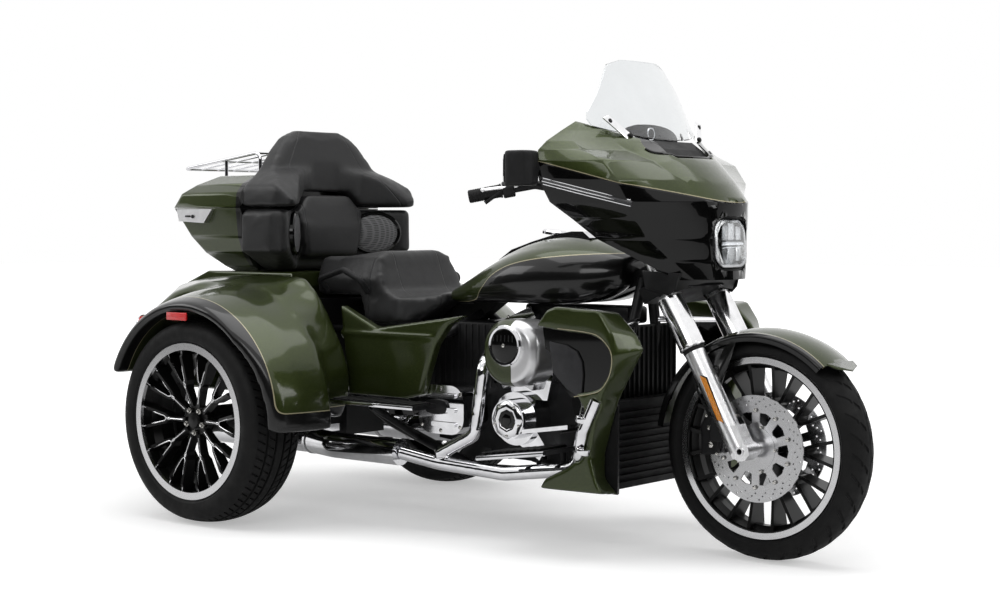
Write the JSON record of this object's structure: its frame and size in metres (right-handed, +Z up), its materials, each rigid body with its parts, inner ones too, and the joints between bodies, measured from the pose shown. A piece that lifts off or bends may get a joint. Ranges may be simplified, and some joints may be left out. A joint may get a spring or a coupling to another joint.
{
  "type": "motor trike",
  "caption": "Touring motor trike with one steered front wheel, two rear wheels, V-twin engine, fork-mounted fairing, seat for two, top box and rear trunk.",
  "frame": {"origin": "on the ground, at the middle of the machine's length and width", "axes": "+X forward, +Y to the rider's left, +Z up"},
  "size_m": [2.6419, 1.384, 1.42],
  "materials": {
    "olive_paint": "gloss",
    "black_paint": "gloss",
    "frame_black": "satin",
    "engine_grey": "satin",
    "bright_metal": "polished",
    "slider_metal": "satin",
    "disc_steel": "brushed",
    "rim_black": "gloss with machined edges",
    "tyre_black": "matt",
    "seat_black": "matt grained",
    "trim_black": "matt",
    "lamp_clear": "clear lens",
    "lamp_red": "clear red lens",
    "screen_clear": "clear"
  },
  "bodies": {
    "chassis": {"frame": "frame_black", "rear_axle": "frame_black", "crankcase": "engine_grey", "cylinders": "engine_grey", "rocker_covers": "bright_metal", "cam_cover": "bright_metal", "primary_cover": "bright_metal", "gearbox": "engine_grey", "gearbox_cover": "bright_metal", "air_cleaner": "trim_black", "exhaust_pipes": "bright_metal", "mufflers": "bright_metal", "fuel_tank": "olive_paint", "tank_console": "bright_metal", "seat": "seat_black", "grab_handles": "trim_black", "backrest_lower": "seat_black", "speaker_pods": "trim_black", "top_box": "olive_paint", "box_latch": "bright_metal", "trunk": "olive_paint", "rear_fenders": "olive_paint", "side_covers": "olive_paint", "leg_fairings": "olive_paint", "leg_pockets": "black_paint", "radiator_housing": "trim_black", "engine_guard": "bright_metal", "rider_boards": "trim_black", "passenger_boards": "trim_black", "foot_levers": "bright_metal", "tail_lamps": "lamp_red"},
    "steering": {"fork_yokes": "frame_black", "fork_legs": "slider_metal", "front_axle": "slider_metal", "handlebar": "trim_black", "front_fender": "olive_paint", "brake_calipers": "trim_black", "fairing_paint": "olive_paint", "fairing_mask": "black_paint", "inner_fairing": "trim_black", "headlamp": "lamp_clear", "windscreen": "screen_clear", "mirrors": "trim_black", "light_bars": "bright_metal"},
    "front_wheel": {"front_tyre": "tyre_black", "front_rim": "rim_black", "front_discs": "disc_steel"},
    "rear_wheel_right": {"rear_tyre_right": "tyre_black", "rear_rim_right": "rim_black"},
    "rear_wheel_left": {"rear_tyre_left": "tyre_black", "rear_rim_left": "rim_black"},
    "box_lid_body": {"box_lid": "olive_paint", "backrest_upper": "seat_black", "luggage_rack": "bright_metal"},
    "trunk_door_body": {"trunk_door": "olive_paint"}
  },
  "joints": [
    {"name": "steer", "type": "hinge", "parent": "chassis", "child": "steering", "pos_m": [0.71481, 0, 0.8], "axis": [-0.4384, 0, 0.8988], "range_deg": [-30, 30]},
    {"name": "front_wheel_spin", "type": "hinge", "parent": "steering", "child": "front_wheel", "pos_m": [1.005, 0, 0.319], "axis": [0, 1, 0], "continuous": true},
    {"name": "rear_wheel_right_spin", "type": "hinge", "parent": "chassis", "child": "rear_wheel_right", "pos_m": [-0.695, -0.567, 0.325], "axis": [0, 1, 0], "continuous": true},
    {"name": "rear_wheel_left_spin", "type": "hinge", "parent": "chassis", "child": "rear_wheel_left", "pos_m": [-0.695, 0.567, 0.325], "axis": [0, 1, 0], "continuous": true},
    {"name": "box_lid_open", "type": "hinge", "parent": "chassis", "child": "box_lid_body", "pos_m": [-0.95, 0.352, 0.997], "axis": [-1, 0, 0], "range_deg": [0, 85]},
    {"name": "trunk_door_open", "type": "hinge", "parent": "chassis", "child": "trunk_door_body", "pos_m": [-1.231, 0.262, 0.6], "axis": [0, 0, -1], "range_deg": [0, 90]}
  ]
}
